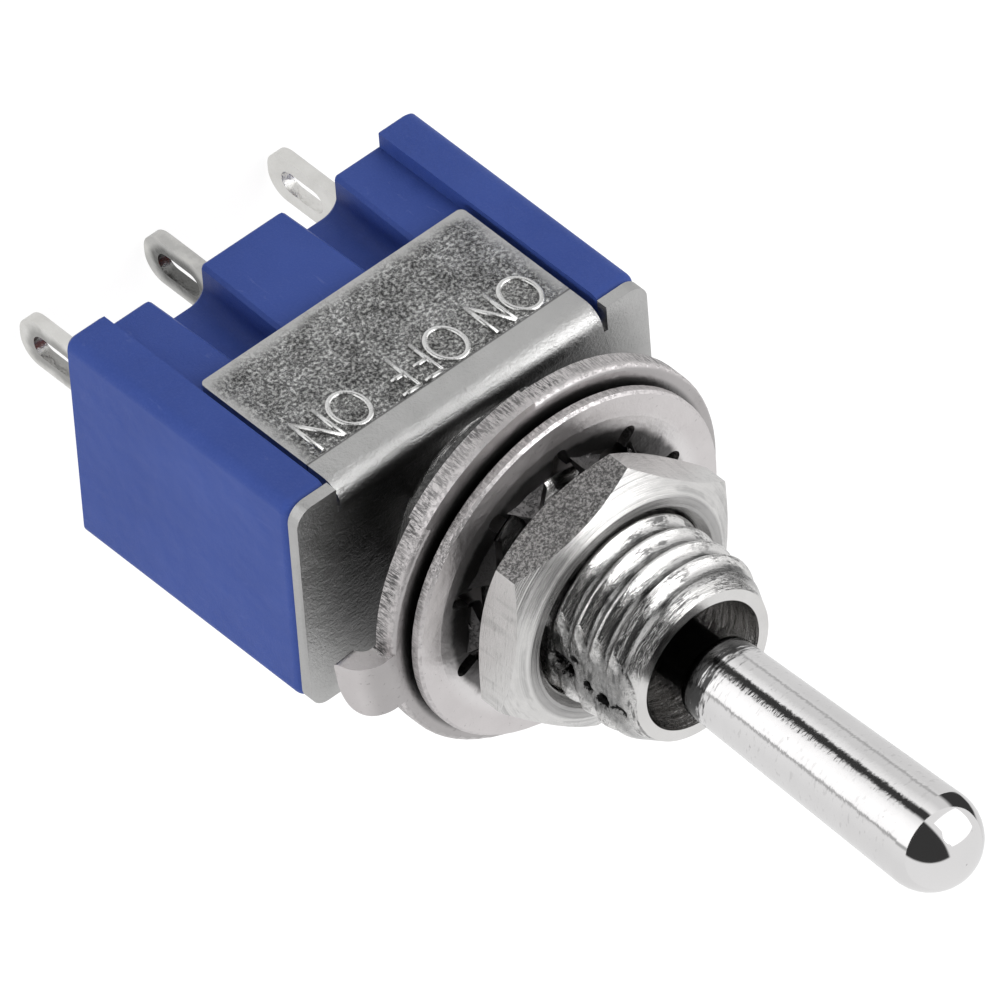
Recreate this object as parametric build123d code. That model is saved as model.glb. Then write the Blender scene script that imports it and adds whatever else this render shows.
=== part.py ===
"""Miniature three-position panel toggle switch with three solder lugs.

Millimetres. +Z runs along the threaded bushing towards the lever's tip, X along the row of lugs
and Y across it. The origin is on the bushing's axis at the front face of the frame's plate.
"""
import math
import os

from build123d import *

# Moulded base
body_length = 13.2          # along X
body_width = 7.8            # along Y, over the end cheeks
body_depth = 9.5            # from the plate's back to the base's underside
cheek_thickness = 1.42      # along X
cheek_drop = 0.55           # from the cheek's top down to the seat of the frame's flap
floor_thickness = 1.65
corner_round = 0.4
edge_ease = 0.11            # eased edges of the grooves and of the underside
groove_width = 1.9          # at the underside, before the mould's draft
groove_depth = 1.3
groove_centre = 2.52        # from the middle of the body, along X
groove_draft_deg = 1.8
groove_top_gap = 1.1        # solid rim left above each groove
well_depth = 0.6            # recess in the underside that the resin fills
well_rim = 1.1              # wall left round that recess at the ends
seal_shy = 0.1              # how far the resin stops short of the underside

# Folded frame
sheet = 0.4
flap_end_gap = 0.23         # between the flap's ends and the cheeks
flap_reach = 6.0            # from the plate's front to the flap's back edge
flap_seat_gap = 0.02
bend_inside = 0.35
ear_round = 0.6
relief_width = 0.15

# Threaded bushing
thread_r = 3.0
thread_pitch = 0.75
bushing_length = 9.42
rim_r = 2.48                # outer radius of the flat mouth, after the lead-in
lead_in = 1.05              # length of the tapered lead-in
thread_depth = 0.3          # of one turned ridge per pitch, which stands for the helix
key_depth = 0.38            # flat milled along the thread for the locating ring
key_start = 0.35
spigot_r = 2.5              # through the frame's plate
spigot_flat = 0.25          # depth of the flat that stops the bushing turning
lip_r = 2.75                # rim staked over behind the plate
lip_height = 0.35

# Lever, ball and cross pin
pivot_z = 3.6
tilt_deg = 11.0             # to each side of the middle
ball_r = 2.0
stem_r = 1.15
stem_end_z = -4.6
neck_r = 0.92
shoulder_round = 0.38       # at the lower end of the bat
bat_start_r = 1.32
bat_end_r = 1.53
dome_height = 1.48
tip_z = 20.4
pin_r = 0.4
pin_length = 5.0

# Plunger, spring and rocker
plunger_r = 0.72
plunger_nose_r = 0.6
plunger_engaged = 2.0       # length inside the stem at rest
plunger_hole_top_z = 0.6
wire_r = 0.09
spring_turns = 7
rocker_thickness = 0.35
rocker_half_width = 1.1
rocker_dish_half = 2.2      # half length of the dished middle
rocker_margin = 0.28        # arm beyond the rivet's head
rocker_ratio = 0.5          # rocker's turn for each degree of the lever's
rivet_head_r = 0.55
rivet_head_height = 0.4
rivet_dome = 0.12
rivet_shank_r = 0.3
rivet_top_r = 0.46
rivet_top_height = 0.14

# Terminals
lug_from_end = 1.9          # outer lug's middle to the base's end
lug_thickness = 0.4
lug_width = 1.7
lug_reach = 4.25            # beyond the base's underside
lug_tip_round = 0.75
eyelet_width = 0.8
eyelet_length = 1.8
eyelet_from_tip = 1.5
foot_length = 1.75
shoulder_width = 2.6        # of the middle terminal, above the floor
ridge_rise = 1.0            # from the floor to the middle of the rounded edge the rocker sits on
fixed_contact_r = 0.6

# Nuts, locating ring and lock washer
nut_flats = 8.0
nut_thickness = 1.95
nut_chamfer_deg = 30.0
nut_face_share = 0.9        # flat face, as a share of the width over the flats
rear_nut_gap = 0.6          # plate's front to the rear nut
rear_nut_turn_deg = 18.0
front_nut_turn_deg = 19.0
ring_r = 6.15
ring_thickness = 0.68
ring_edge_round = 0.16
tab_width = 2.05
tab_outer_corner = 0.3      # on the side of the lettered flap
tab_inner_corner = 1.0
tab_turn_deg = 7.0          # the ring hangs a little turned on its key
tab_flat_end = 6.2          # where the tab starts to bend, from the axis
tab_bend_r = 0.72
tab_bend_deg = 90.0
tab_straight = 0.12
stub_from_deg = 93.0        # sheared stub of the strip that the ring was cut from
stub_to_deg = 137.0
stub_proud = 0.14
washer_r = 5.64
washer_rim_width = 1.89
washer_dish = 0.12          # drop of the rim towards the teeth
washer_dish_r = 4.85        # where that drop starts
washer_thickness = 0.42
washer_rim_lift = 0.17      # from the ring to the back of the flat rim
tooth_count = 10
tooth_width = 1.2           # at the thread
tooth_root_width = 1.8      # in the rim
tooth_gap = 0.5             # slot between two teeth, with a round end in the rim
tooth_gap_reach = 4.5       # outer end of that slot, from the axis
tooth_twist_deg = 36.0

# Clearances
turning = 0.05              # ball in its seat, nuts on the thread, ring on the bushing
sliding = 0.04              # plunger in the stem
slot_clearance = 0.02       # terminals in the floor, pin in the ball
pin_slot_clearance = 0.05
side_clearance = 0.35       # rocker and feet inside the cavity
stop_clearance = 0.05       # neck to the bushing's mouth at full tilt
shoulder_clearance = 0.035  # bat's lower face to the bushing's mouth at full tilt
contact_clearance = 0.02    # contacts at full tilt
nose_clearance = 0.03       # plunger above the rocker
lip_clearance = 0.12        # staked lip in the base

# Levels and radii that follow
tilt = math.radians(tilt_deg)
plate_back = -sheet
base_bottom = plate_back - body_depth
floor_z = base_bottom + floor_thickness
flap_seat_y = body_width / 2 - cheek_drop
flap_half_length = body_length / 2 - cheek_thickness - flap_end_gap
lug_pitch = body_length / 2 - lug_from_end
flap_inside_y = flap_seat_y + flap_seat_gap
flap_outside_y = flap_inside_y + sheet
cavity_half_width = rocker_half_width + side_clearance
cavity_half_length = lug_pitch + lug_thickness / 2 + side_clearance
lip_bottom = plate_back - lip_height
seat_r = ball_r + turning
mouth_r = (bushing_length - pivot_z) * math.tan(tilt) + neck_r / math.cos(tilt) + stop_clearance
shoulder_z = (pivot_z + mouth_r * math.sin(tilt) + (bushing_length - pivot_z) * math.cos(tilt)
              + shoulder_clearance)
throat_r = neck_r / math.cos(tilt) + seat_r * math.tan(tilt) + 6 * stop_clearance
throat_z = pivot_z + math.sqrt(seat_r**2 - throat_r**2)
flare_r = (pivot_z - lip_bottom) * math.tan(tilt) + stem_r / math.cos(tilt) + 3 * stop_clearance
spigot_flat_x = spigot_r - spigot_flat
key_x = thread_r - key_depth
hole_r = thread_r + turning
plunger_hole_r = plunger_r + sliding
plunger_top_z = stem_end_z + plunger_engaged
fulcrum_z = floor_z + ridge_rise
ridge_r = lug_thickness / 2
rocker_seat_r = ridge_r + contact_clearance
rocker_top_z = fulcrum_z + rocker_seat_r + rocker_thickness
nose_z = rocker_top_z + nose_clearance
lug_tip_z = base_bottom - lug_reach
foot_top_z = floor_z + lug_thickness
foot_inner_x = lug_pitch + lug_thickness / 2 - foot_length
contact_x = foot_inner_x + fixed_contact_r + contact_clearance
rocker_half_length = contact_x + rivet_head_r + rocker_margin
ring_back_z = rear_nut_gap + nut_thickness
ring_front_z = ring_back_z + ring_thickness
tooth_twist = math.radians(tooth_twist_deg)
washer_stack = tooth_width * math.sin(tooth_twist) + washer_thickness * math.cos(tooth_twist)
front_nut_z = ring_front_z + washer_stack


def turned(outline):
    """A solid turned about Z from a closed outline in radius and height."""
    return revolve(Plane.XZ * make_face(outline), Axis.Z)


def block(x, y, z):
    """A box from three (low, high) pairs."""
    size = [high - low for low, high in (x, y, z)]
    middle = [(high + low) / 2 for low, high in (x, y, z)]
    return Pos(*middle) * Box(*size)


def upright(radius, low, high):
    """A cylinder along Z between two heights."""
    return Pos(0, 0, (low + high) / 2) * Cylinder(radius, high - low)


def rocker_dish_radius():
    """Radius of the rocker's dished top, from where the plunger's nose goes as the lever tilts.

    The nose's centre is placed at rest and at full tilt in the turned rocker's own frame. The
    circle through those places, moved out by the nose's radius, is the surface it slides on.
    """
    arm = pivot_z - nose_z - plunger_nose_r
    turn = tilt * rocker_ratio
    across = arm * math.sin(tilt)
    above = pivot_z - fulcrum_z - arm * math.cos(tilt)
    end_x = across * math.cos(turn) - above * math.sin(turn)
    end_z = across * math.sin(turn) + above * math.cos(turn)
    rise = end_z - (pivot_z - fulcrum_z - arm)
    return (end_x**2 + rise**2) / (2 * rise) + plunger_nose_r


dish_r = rocker_dish_radius()
arm_top_z = rocker_top_z + dish_r - math.sqrt(dish_r**2 - rocker_dish_half**2)
arm_bottom_z = arm_top_z - rocker_thickness
moving_contact_z = arm_bottom_z - rivet_head_height


def fixed_contact_top():
    """Height of the fixed contact that the domed rivet just misses at full tilt."""
    turn = tilt * rocker_ratio
    edge_x = contact_x + rivet_head_r
    edge_z = moving_contact_z + rivet_dome - fulcrum_z
    edge_drop = edge_x * math.sin(turn) + edge_z * (1 - math.cos(turn))
    edge_low = moving_contact_z + rivet_dome - edge_drop
    middle_z = moving_contact_z - fulcrum_z
    middle_low = moving_contact_z - contact_x * math.sin(turn) - middle_z * (1 - math.cos(turn))
    return min(edge_low, middle_low) - 2 * contact_clearance


fixed_contact_z = fixed_contact_top()


def groove_tool(side_x, side_y):
    """The drafted core that leaves one groove in a wide side of the base."""
    top = plate_back - groove_top_gap
    shrink = (top - base_bottom) * math.tan(math.radians(groove_draft_deg))
    floor_y = flap_seat_y - groove_depth
    outside_y = body_width / 2 + 1

    def section(height, inset):
        shape = Rectangle(groove_width - 2 * inset, outside_y - floor_y - inset)
        shape = fillet(shape.vertices().group_by(Axis.Y)[0], groove_width / 4)
        middle_y = (outside_y + floor_y + inset) / 2
        return Pos(side_x * groove_centre, middle_y, height) * shape

    tool = loft([section(base_bottom, 0), section(top, shrink)])
    return tool if side_y > 0 else mirror(tool, Plane.XZ)


def make_base():
    """Blue moulding: two end cheeks, recessed wide sides with two grooves each, open at the top."""
    cheek_inside = body_length / 2 - cheek_thickness
    outline = Rectangle(body_length, body_width)
    for side in (1, -1):
        middle = side * (flap_seat_y + cheek_drop)
        outline -= Pos(0, middle) * Rectangle(2 * cheek_inside, 2 * cheek_drop)
    ends = [v for v in outline.vertices() if abs(v.X) > body_length / 2 - 0.01]
    outline = fillet(ends, corner_round)
    base = extrude(Pos(0, 0, base_bottom) * outline, body_depth)
    rim = [e for e in base.edges()
           if e.center().Z > plate_back - 0.01
           and (abs(e.center().X) > body_length / 2 - corner_round or abs(e.center().Y) > body_width / 2 - 0.01)]
    base = fillet(rim, corner_round * 0.85)
    folds = [e for e in base.edges().filter_by(Axis.X)
             if e.center().Z > plate_back - 0.01 and abs(abs(e.center().Y) - flap_seat_y) < 0.01]
    base = chamfer(folds, bend_inside)

    for side_x in (1, -1):
        for side_y in (1, -1):
            base -= groove_tool(side_x, side_y)
    groove_sides = [e for e in base.edges() if abs(abs(e.center().Y) - flap_seat_y) < 0.02
                    and abs(abs(abs(e.center().X) - groove_centre) - groove_width / 2) < groove_width / 8
                    and e.length > body_depth / 2]
    base = chamfer(groove_sides, edge_ease)
    underside = [e for e in base.edges() if e.center().Z < base_bottom + 0.01]
    base = chamfer(underside, edge_ease)

    cavity = block((-cavity_half_length, cavity_half_length), (-cavity_half_width, cavity_half_width),
                   (floor_z, plate_back + 1))
    base -= fillet(cavity.edges().filter_by(Axis.Z), corner_round)
    base -= upright(lip_r + lip_clearance, lip_bottom - lip_clearance, plate_back + 1)
    base -= seal_well()
    for x in (-lug_pitch, 0, lug_pitch):
        half_t = lug_thickness / 2 + slot_clearance
        half_w = lug_width / 2 + slot_clearance
        base -= block((x - half_t, x + half_t), (-half_w, half_w), (base_bottom - 1, floor_z + 1))
    return base


def seal_well(shy=0.0):
    """The recess in the base's underside round the three lugs, or the resin in it."""
    half_x = body_length / 2 - well_rim
    well = block((-half_x, half_x), (-cavity_half_width, cavity_half_width),
                 (base_bottom + shy, base_bottom + well_depth))
    return fillet(well.edges().filter_by(Axis.Z), corner_round)


def make_terminal_seal():
    """Reddish resin cast round the lugs where they leave the base."""
    seal = seal_well(seal_shy)
    for x in (-lug_pitch, 0, lug_pitch):
        seal -= block((x - lug_thickness / 2, x + lug_thickness / 2), (-lug_width / 2, lug_width / 2),
                      (base_bottom - 1, floor_z))
    return seal


def make_frame():
    """One folded sheet: a plate with four ears and a flap down each wide side of the base."""
    bend_outside = bend_inside + sheet
    skin = block((-flap_half_length, flap_half_length), (-flap_outside_y, flap_outside_y), (-flap_reach, 0))
    skin = fillet(skin.edges().filter_by(Axis.X).group_by(Axis.Z)[-1], bend_outside)
    inside = block((-flap_half_length - 1, flap_half_length + 1), (-flap_inside_y, flap_inside_y),
                   (-flap_reach - 1, plate_back))
    skin -= fillet(inside.edges().filter_by(Axis.X).group_by(Axis.Z)[-1], bend_inside)
    corners = [e for e in skin.edges().filter_by(Axis.Y)
               if e.center().Z < -flap_reach + 0.01]
    skin = fillet(corners, ear_round / 3)

    plate = RectangleRounded(body_length, body_width, ear_round)
    for side in (1, -1):
        reach = body_width / 2 - (flap_outside_y - bend_outside)
        notch = Rectangle(2 * (flap_half_length + relief_width), 2 * reach)
        plate -= Pos(0, side * body_width / 2) * notch
    frame = skin + extrude(Pos(0, 0, plate_back) * plate, sheet)
    hole = upright(spigot_r + slot_clearance, plate_back - 1, 1)
    flat_x = spigot_flat_x + slot_clearance
    hole -= block((-2 * spigot_r, -flat_x), (-spigot_r * 2, spigot_r * 2), (plate_back - 2, 2))
    return frame - hole


def thread_ridges():
    """Points up the side of the thread: a ridge at each pitch, the last where the taper starts."""
    top = bushing_length - lead_in
    count = math.floor((top - key_start) / thread_pitch)
    points = [(thread_r, top - count * thread_pitch)]
    for index in range(count, 0, -1):
        points.append((thread_r - thread_depth, top - (index - 0.5) * thread_pitch))
        points.append((thread_r, top - (index - 1) * thread_pitch))
    return points


def make_bushing():
    """Turned bushing: ridged thread with a keyway, tapered mouth, ball seat and pin slots."""
    seat_angle = math.acos(throat_r / seat_r) / 2
    seat_middle = (seat_r * math.cos(seat_angle), pivot_z + seat_r * math.sin(seat_angle))
    outside = Polyline((seat_r, pivot_z), (seat_r, 0), (flare_r, lip_bottom), (lip_r, lip_bottom), (lip_r, plate_back),
                       (spigot_r, plate_back), (spigot_r, 0), (thread_r, 0), *thread_ridges(),
                       (rim_r, bushing_length), (mouth_r, bushing_length), (throat_r, throat_z))
    seat = ThreePointArc((throat_r, throat_z), seat_middle, (seat_r, pivot_z))
    bushing = turned(outside + seat)

    bushing -= block((-2 * thread_r, -key_x), (-thread_r, thread_r), (key_start, bushing_length + 1))
    bushing -= block((-2 * spigot_r, -spigot_flat_x), (-spigot_r, spigot_r), (plate_back, 0))
    slot_half = pin_r + pin_slot_clearance
    slot_reach = pin_length / 2 + pin_slot_clearance
    bushing -= block((-slot_half, slot_half), (-slot_reach, slot_reach), (lip_bottom - 1, pivot_z))
    bushing -= Pos(0, 0, pivot_z) * Rot(90, 0, 0) * Cylinder(slot_half, 2 * slot_reach)
    return bushing


def make_lever():
    """Bat lever in one piece with its ball and the hollow stem that holds the plunger."""
    bat_end_z = tip_z - dome_height
    dome_r = (bat_end_r**2 + dome_height**2) / (2 * dome_height)
    dome_angle = (math.asin(min(1, bat_end_r / dome_r))) / 2
    dome_middle = (dome_r * math.sin(dome_angle), tip_z - dome_r + dome_r * math.cos(dome_angle))
    round_start_r = bat_start_r - shoulder_round
    rounding_middle = (round_start_r + shoulder_round * math.sin(math.pi / 4),
                       shoulder_z + shoulder_round * (1 - math.cos(math.pi / 4)))

    body = Polyline((0, tip_z), (0, stem_end_z), (stem_r, stem_end_z), (stem_r, pivot_z), (neck_r, pivot_z),
                    (neck_r, shoulder_z), (round_start_r, shoulder_z))
    rounding = ThreePointArc(body @ 1, rounding_middle, (bat_start_r, shoulder_z + shoulder_round))
    taper = Line(rounding @ 1, (bat_end_r, bat_end_z))
    dome = ThreePointArc(taper @ 1, dome_middle, (0, tip_z))
    lever = turned(body + rounding + taper + dome)
    lever += Pos(0, 0, pivot_z) * Sphere(ball_r)
    lever -= upright(plunger_hole_r, stem_end_z - 1, plunger_hole_top_z)
    lever -= Pos(0, 0, pivot_z) * Rot(90, 0, 0) * Cylinder(pin_r + slot_clearance, 3 * ball_r)
    return lever


def make_pivot_pin():
    """Cross pin through the ball, with its ends in the bushing's two slots."""
    pin = Cylinder(pin_r, pin_length)
    pin = chamfer(pin.edges().filter_by(GeomType.CIRCLE), pin_r / 4)
    return Pos(0, 0, pivot_z) * Rot(90, 0, 0) * pin


def make_plunger():
    """Nylon plunger with a round nose that rides on the rocker."""
    neck_end = (stem_end_z + nose_z) / 2
    nose_centre = nose_z + plunger_nose_r
    nose_middle = (plunger_nose_r * math.sin(math.pi / 4), nose_centre - plunger_nose_r * math.cos(math.pi / 4))
    side = Polyline((0, nose_z), (0, plunger_top_z), (plunger_r, plunger_top_z), (plunger_r, neck_end),
                    (plunger_nose_r, neck_end - (plunger_r - plunger_nose_r)), (plunger_nose_r, nose_centre))
    return turned(side + ThreePointArc(side @ 1, nose_middle, (0, nose_z)))


def make_plunger_spring():
    """Compression spring between plunger and stem, its hidden wire six-sided to keep it light."""
    coil_r = plunger_hole_r - wire_r - 2 * sliding
    low = plunger_top_z + wire_r
    height = plunger_hole_top_z - low - wire_r
    path = Helix(height / spring_turns, height, coil_r)
    wire = Plane(origin=path @ 0, z_dir=path % 0) * RegularPolygon(wire_r, 6)
    return Pos(0, 0, low) * sweep(wire, path, is_frenet=True)


def make_rocker():
    """Pressed contact bridge: dished middle for the plunger, saddle on the ridge, two flat arms."""
    dish_centre_z = rocker_top_z + dish_r
    half_angle = math.asin(rocker_dish_half / dish_r)
    under_r = dish_r + rocker_thickness
    under_half = under_r * math.sin(half_angle)

    def outline_point(x, z):
        return (x, z)

    top = ThreePointArc((-rocker_dish_half, arm_top_z), (0, rocker_top_z), (rocker_dish_half, arm_top_z))
    bottom_z = dish_centre_z - under_r
    under = ThreePointArc((under_half, dish_centre_z - under_r * math.cos(half_angle)), (0, bottom_z),
                          (-under_half, dish_centre_z - under_r * math.cos(half_angle)))
    right = Polyline(outline_point(rocker_dish_half, arm_top_z), (rocker_half_length, arm_top_z),
                     (rocker_half_length, arm_bottom_z), (under_half + rocker_thickness / 2, arm_bottom_z),
                     under @ 0)
    left = Polyline(under @ 1, (-under_half - rocker_thickness / 2, arm_bottom_z),
                    (-rocker_half_length, arm_bottom_z), (-rocker_half_length, arm_top_z),
                    (-rocker_dish_half, arm_top_z))
    profile = make_face(top + right + under + left)
    block_half = 2.2 * rocker_seat_r
    profile += Pos(0, fulcrum_z + rocker_seat_r) * Rectangle(2 * block_half, rocker_thickness)
    saddle = Pos(0, fulcrum_z) * Circle(rocker_seat_r)
    profile -= saddle
    rocker = extrude(Plane.XZ * profile, rocker_half_width, both=True)
    for side in (1, -1):
        rocker -= Pos(side * contact_x, 0, arm_top_z) * Cylinder(rivet_shank_r + slot_clearance, 2)
    return rocker


def make_moving_contact(side):
    """Silver rivet through one arm of the rocker, domed below and peened over above."""
    dome_edge = moving_contact_z + rivet_dome
    head = Polyline((0, arm_top_z + rivet_top_height), (rivet_top_r, arm_top_z + rivet_top_height),
                    (rivet_top_r, arm_top_z), (rivet_shank_r, arm_top_z), (rivet_shank_r, arm_bottom_z),
                    (rivet_head_r, arm_bottom_z), (rivet_head_r, dome_edge))
    dome_r = (rivet_head_r**2 + rivet_dome**2) / (2 * rivet_dome)
    half = math.asin(rivet_head_r / dome_r) / 2
    middle = (dome_r * math.sin(half), moving_contact_z + dome_r - dome_r * math.cos(half))
    dome = ThreePointArc(head @ 1, middle, (0, moving_contact_z))
    closing = Line((0, moving_contact_z), (0, arm_top_z + rivet_top_height))
    return Pos(side * contact_x, 0, 0) * turned(head + dome + closing)


def make_fixed_contact(side):
    """Silver pad on the foot of an outer terminal."""
    pad = upright(fixed_contact_r, foot_top_z, fixed_contact_z)
    pad = fillet(pad.edges().filter_by(GeomType.CIRCLE).group_by(Axis.Z)[-1], (fixed_contact_z - foot_top_z) / 4)
    return Pos(side * contact_x, 0, 0) * pad


def lug_blade(top_z):
    """The flat blade of a terminal from a height above the floor down to its rounded, pierced tip."""
    height = top_z - lug_tip_z
    side = Pos(0, (top_z + lug_tip_z) / 2) * Rectangle(lug_width, height)
    side = fillet(side.vertices().group_by(Axis.Y)[0], lug_tip_round)
    side -= Pos(0, lug_tip_z + eyelet_from_tip) * SlotOverall(eyelet_length, eyelet_width, rotation=90)
    return extrude(Plane.YZ * side, lug_thickness / 2, both=True)


def make_outer_terminal(side):
    """Outer lug bent over inside the base into a foot that carries the fixed contact."""
    foot = block((-lug_thickness / 2 - foot_length + lug_thickness, lug_thickness / 2), (-lug_width / 2, lug_width / 2),
                 (floor_z, foot_top_z))
    terminal = lug_blade(floor_z) + foot
    outer_edge = terminal.edges().filter_by(Axis.Y).group_by(Axis.Z)[-1].sort_by(Axis.X)[-1]
    terminal = Pos(lug_pitch, 0, 0) * fillet(outer_edge, lug_thickness * 0.7)
    return terminal if side > 0 else mirror(terminal, Plane.YZ)


def make_middle_terminal():
    """Common lug whose wider head stands up from the floor to a rounded ridge under the rocker."""
    head = block((-lug_thickness / 2, lug_thickness / 2), (-shoulder_width / 2, shoulder_width / 2),
                 (floor_z, fulcrum_z))
    ridge = Pos(0, 0, fulcrum_z) * Rot(90, 0, 0) * Cylinder(ridge_r, shoulder_width)
    return lug_blade(floor_z) + head + ridge


def make_nut(low_z, turn_deg):
    """Thin hex nut, chamfered on both faces."""
    corner_r = nut_flats / 2 / math.cos(math.pi / 6)
    face_r = nut_flats / 2 * nut_face_share
    slope = (corner_r - face_r) * math.tan(math.radians(nut_chamfer_deg))
    blank = extrude(Rot(0, 0, turn_deg) * RegularPolygon(nut_flats / 2, 6, major_radius=False), nut_thickness)
    envelope = Polyline((0, 0), (face_r, 0), (corner_r, slope), (corner_r, nut_thickness - slope),
                        (face_r, nut_thickness), (0, nut_thickness), close=True)
    nut = blank & turned(envelope)
    sink = thread_pitch / 3
    bore = Polyline((0, -1), (hole_r + sink + 1, -1), (hole_r, sink), (hole_r, nut_thickness - sink),
                    (hole_r + sink + 1, nut_thickness + 1), (0, nut_thickness + 1), close=True)
    return Pos(0, 0, low_z) * (nut - turned(bore))


def make_locating_ring():
    """Punched ring with an inner key on the bushing's flat and an outer tab bent back."""
    disc = Circle(ring_r)
    stub_angle = stub_to_deg - stub_from_deg
    stub_arc = CenterArc((0, 0), ring_r + stub_proud, stub_from_deg, stub_angle)
    stub = make_face(stub_arc + Polyline(stub_arc @ 1, (0, 0), stub_arc @ 0))
    root = Pos(-(tab_flat_end + ring_r - 1) / 2, 0) * Rectangle(tab_flat_end - ring_r + 1, tab_width)
    plan = disc + stub + Rot(0, 0, tab_turn_deg) * root
    ring = extrude(plan, ring_thickness)
    front_rim = ring.edges().group_by(Axis.Z)[-1].filter_by(GeomType.CIRCLE)
    ring = fillet([e for e in front_rim if abs(e.radius - ring_r) < 0.01], ring_edge_round)

    flat_line = Line((-tab_flat_end, ring_thickness / 2), (-tab_flat_end - 0.01, ring_thickness / 2))
    bend = JernArc(flat_line @ 1, flat_line % 1, tab_bend_r, tab_bend_deg)
    end = Line(bend @ 1, (bend @ 1) + (bend % 1) * tab_straight)
    strip = extrude(Plane.XZ * trace(flat_line + bend + end, ring_thickness), tab_width / 2, both=True)
    tip_z = (end @ 1).Y
    front = Pos(0, tip_z + ring_r / 2) * Rectangle(tab_width, ring_r)
    corners = front.vertices().group_by(Axis.Y)[0].sort_by(Axis.X)
    front = fillet(corners[-1], tab_outer_corner)
    front = fillet(front.vertices().group_by(Axis.Y)[0].sort_by(Axis.X)[0], tab_inner_corner)
    strip &= extrude(Plane.YZ * front, 2 * ring_r, both=True)
    ring += Rot(0, 0, tab_turn_deg) * strip

    bore = Circle(hole_r) - Pos(-key_x - 3 * turning - hole_r, 0) * Rectangle(2 * hole_r, 2 * hole_r)
    return Pos(0, 0, ring_back_z) * (ring - extrude(bore, 2 * ring_thickness, both=True))


def washer_tooth():
    """One flat-faced tooth, wide and level in the rim, narrower and twisted at the thread."""
    rim_middle = ring_front_z + washer_rim_lift + washer_thickness / 2 - washer_dish
    tooth_middle = ring_front_z + washer_stack / 2
    rim_inner = washer_r - washer_rim_width
    tip_r = hole_r + turning

    def section(radius, width, turn, height):
        corners = []
        for side, level in ((-1, -1), (1, -1), (1, 1), (-1, 1)):
            across = side * width / 2
            up = level * washer_thickness * 0.48
            corners.append((radius, across * math.cos(turn) - up * math.sin(turn),
                            height + across * math.sin(turn) + up * math.cos(turn)))
        return corners

    sections = [section(rim_inner + washer_thickness / 3, tooth_root_width, 0, rim_middle),
                section((rim_inner + tip_r) / 2, tooth_width, tooth_twist, tooth_middle),
                section(tip_r, tooth_width, tooth_twist, tooth_middle)]
    sides = [sections[0], sections[-1]]
    for outer, inner in zip(sections, sections[1:]):
        for index in range(4):
            after = (index + 1) % 4
            sides.append([outer[index], outer[after], inner[after]])
            sides.append([outer[index], inner[after], inner[index]])
    return Solid(Shell([Face(Wire.make_polygon(points, close=True)) for points in sides]))


def make_lock_washer():
    """Internal-tooth lock washer: a slightly dished rim, slotted inside, whose teeth twist at the thread."""
    low = ring_front_z + washer_rim_lift
    high = low + washer_thickness
    rim_inner = washer_r - washer_rim_width
    ease = washer_thickness / 5
    washer = turned(Polyline((rim_inner, low - washer_dish), (washer_dish_r, low), (washer_r - ease, low),
                             (washer_r, low + ease), (washer_r, high - ease), (washer_r - ease, high),
                             (washer_dish_r, high), (rim_inner, high - washer_dish), close=True))
    slot_length = tooth_gap_reach - rim_inner + tooth_gap
    slot = Pos(tooth_gap_reach - slot_length / 2, 0, low - washer_dish) * SlotOverall(slot_length, tooth_gap)
    slot = extrude(slot, 2 * washer_thickness)
    tooth = washer_tooth()
    for index in range(tooth_count):
        washer -= Rot(0, 0, 360 / tooth_count * (index + 0.5)) * slot
        washer += Rot(0, 0, 360 / tooth_count * index) * tooth
    return washer


parts = {
    "base": make_base(),
    "frame": make_frame(),
    "bushing": make_bushing(),
    "lever": make_lever(),
    "pivot_pin": make_pivot_pin(),
    "plunger": make_plunger(),
    "plunger_spring": make_plunger_spring(),
    "rocker": make_rocker(),
    "moving_contact_left": make_moving_contact(-1),
    "moving_contact_right": make_moving_contact(1),
    "fixed_contact_left": make_fixed_contact(-1),
    "fixed_contact_right": make_fixed_contact(1),
    "terminal_left": make_outer_terminal(-1),
    "terminal_middle": make_middle_terminal(),
    "terminal_right": make_outer_terminal(1),
    "terminal_seal": make_terminal_seal(),
    "rear_nut": make_nut(rear_nut_gap, rear_nut_turn_deg),
    "locating_ring": make_locating_ring(),
    "lock_washer": make_lock_washer(),
    "front_nut": make_nut(front_nut_z, front_nut_turn_deg),
}

os.makedirs("parts", exist_ok=True)
for name, part in parts.items():
    export_step(part, f"parts/{name}.step")
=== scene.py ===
"""Looks of the miniature panel toggle switch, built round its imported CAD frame.

Metres. +Z runs along the bushing towards the lever's tip, X along the row of lugs, +Y out of the
lettered flap, and the origin is on the bushing's axis at the front of the frame's plate.
"""
import math

import bmesh
import bpy
from mathutils import Matrix, Vector, noise


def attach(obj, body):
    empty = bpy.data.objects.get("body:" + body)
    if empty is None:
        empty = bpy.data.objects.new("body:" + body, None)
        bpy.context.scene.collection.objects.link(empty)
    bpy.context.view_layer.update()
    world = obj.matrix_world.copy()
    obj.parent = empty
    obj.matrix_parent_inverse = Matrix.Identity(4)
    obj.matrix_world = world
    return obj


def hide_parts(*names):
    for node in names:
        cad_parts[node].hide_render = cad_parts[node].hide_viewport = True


MM = 0.001

# Camera of the photograph, as its right, up and backward directions in the object's axes
PHOTO_RIGHT = Vector((0.7448, -0.0561, 0.6649))
PHOTO_UP = Vector((0.5035, 0.7012, -0.5048))
PHOTO_BACK = Vector((-0.4379, 0.7108, 0.5505))
CAMERA_PLACE = Vector((-342.53, 556.46, 431.53)) * MM
CAMERA_LENS = 999.5
SENSOR_WIDTH = 36

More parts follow.
